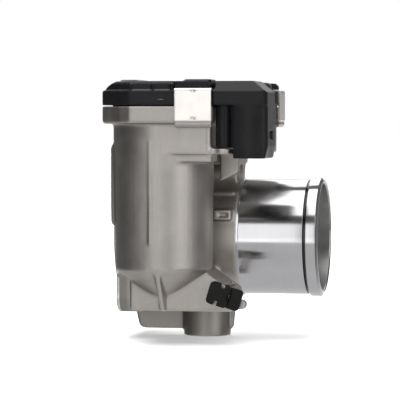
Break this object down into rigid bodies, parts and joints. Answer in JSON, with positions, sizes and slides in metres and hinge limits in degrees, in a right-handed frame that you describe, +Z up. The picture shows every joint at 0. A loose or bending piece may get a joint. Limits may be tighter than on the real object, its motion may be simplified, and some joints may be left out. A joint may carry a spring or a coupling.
{
  "type": "electronic throttle body",
  "caption": "Die-cast electronic throttle body with a side motor, a geared and spring-returned butterfly plate, a clipped gear cover with a connector, and a beaded hose spigot.",
  "frame": {"origin": "centre of the manifold flange face, on the bore axis", "axes": "+X along the bore to the hose spigot, +Z up the throttle shaft to the gear cover, +Y away from the motor side"},
  "size_m": [0.105, 0.1184, 0.1333],
  "materials": {
    "cast_aluminium": "satin die-cast, bead blasted",
    "cover_plastic": "moulded black glass-filled nylon",
    "seal_rubber": "black moulded rubber",
    "clip_steel": "bright stainless spring steel",
    "tin_plate": "tin-plated contact",
    "board": "green coated circuit board",
    "chip": "moulded chip package",
    "motor_steel": "zinc-plated drawn steel",
    "magnet": "sintered ferrite",
    "brush_plastic": "dark brown moulding",
    "carbon": "pressed carbon",
    "bronze": "sintered bronze",
    "screw_steel": "plated steel",
    "ground_steel": "ground steel",
    "bearing_steel": "polished bearing steel",
    "spring_steel": "oiled spring wire",
    "clip_plastic": "moulded black nylon",
    "plate_brass": "turned brass plate",
    "gear_plastic": "natural acetal",
    "rotor_target": "stamped metal target",
    "pinion_metal": "sintered steel",
    "laminations": "stacked steel sheets",
    "copper": "enamelled copper wire"
  },
  "bodies": {
    "root": {"throttle_housing": "cast_aluminium", "gear_cover": "cover_plastic", "cover_gasket": "seal_rubber", "shaft_seals": "seal_rubber", "manifold_gasket": "seal_rubber", "motor_support_ring": "seal_rubber", "cover_clips": "clip_steel", "connector_terminals": "tin_plate", "motor_contacts": "tin_plate", "motor_terminals": "tin_plate", "sensor_board": "board", "sensor_chip": "chip", "motor_can": "motor_steel", "motor_flange": "motor_steel", "bearing_plug": "motor_steel", "motor_magnets": "magnet", "motor_end_cap": "brush_plastic", "spring_sleeve": "brush_plastic", "motor_brushes": "carbon", "motor_bushes": "bronze", "idler_washer": "bronze", "motor_screws": "screw_steel", "stop_screw": "screw_steel", "idler_pin": "ground_steel", "upper_bearing": "bearing_steel", "upper_bearing_needles": "bearing_steel", "lower_bearing_outer": "bearing_steel", "lower_bearing_balls": "bearing_steel", "return_spring": "spring_steel", "harness_clip": "clip_plastic"},
    "throttle": {"throttle_shaft": "ground_steel", "throttle_plate": "plate_brass", "plate_screws": "screw_steel", "sector_gear": "gear_plastic", "gear_insert": "ground_steel", "sensor_rotor": "rotor_target", "lower_bearing_inner": "bearing_steel"},
    "idler": {"intermediate_gear": "gear_plastic"},
    "motor_rotor": {"motor_shaft": "ground_steel", "armature_core": "laminations", "armature_windings": "copper", "commutator": "copper", "motor_pinion": "pinion_metal"}
  },
  "joints": [
    {"name": "rotor_turn", "type": "hinge", "parent": "root", "child": "motor_rotor", "pos_m": [0.03, -0.0515, 0], "axis": [0, 0, 1], "range_deg": [-122.2, 1222.2]},
    {"name": "throttle_turn", "type": "hinge", "parent": "root", "child": "throttle", "pos_m": [0.043, 0, 0], "axis": [0, 0, 1], "range_deg": [-8, 80], "stiffness_Nm_per_rad": 0.25},
    {"name": "idler_turn", "type": "hinge", "parent": "root", "child": "idler", "pos_m": [0.04365, -0.03079, 0], "axis": [0, 0, 1], "range_deg": [-293.4, 29.4]}
  ],
  "couplings": [
    {"joint": "throttle_turn", "follows": "rotor_turn", "ratio": 0.065455},
    {"joint": "idler_turn", "follows": "rotor_turn", "ratio": -0.24}
  ]
}
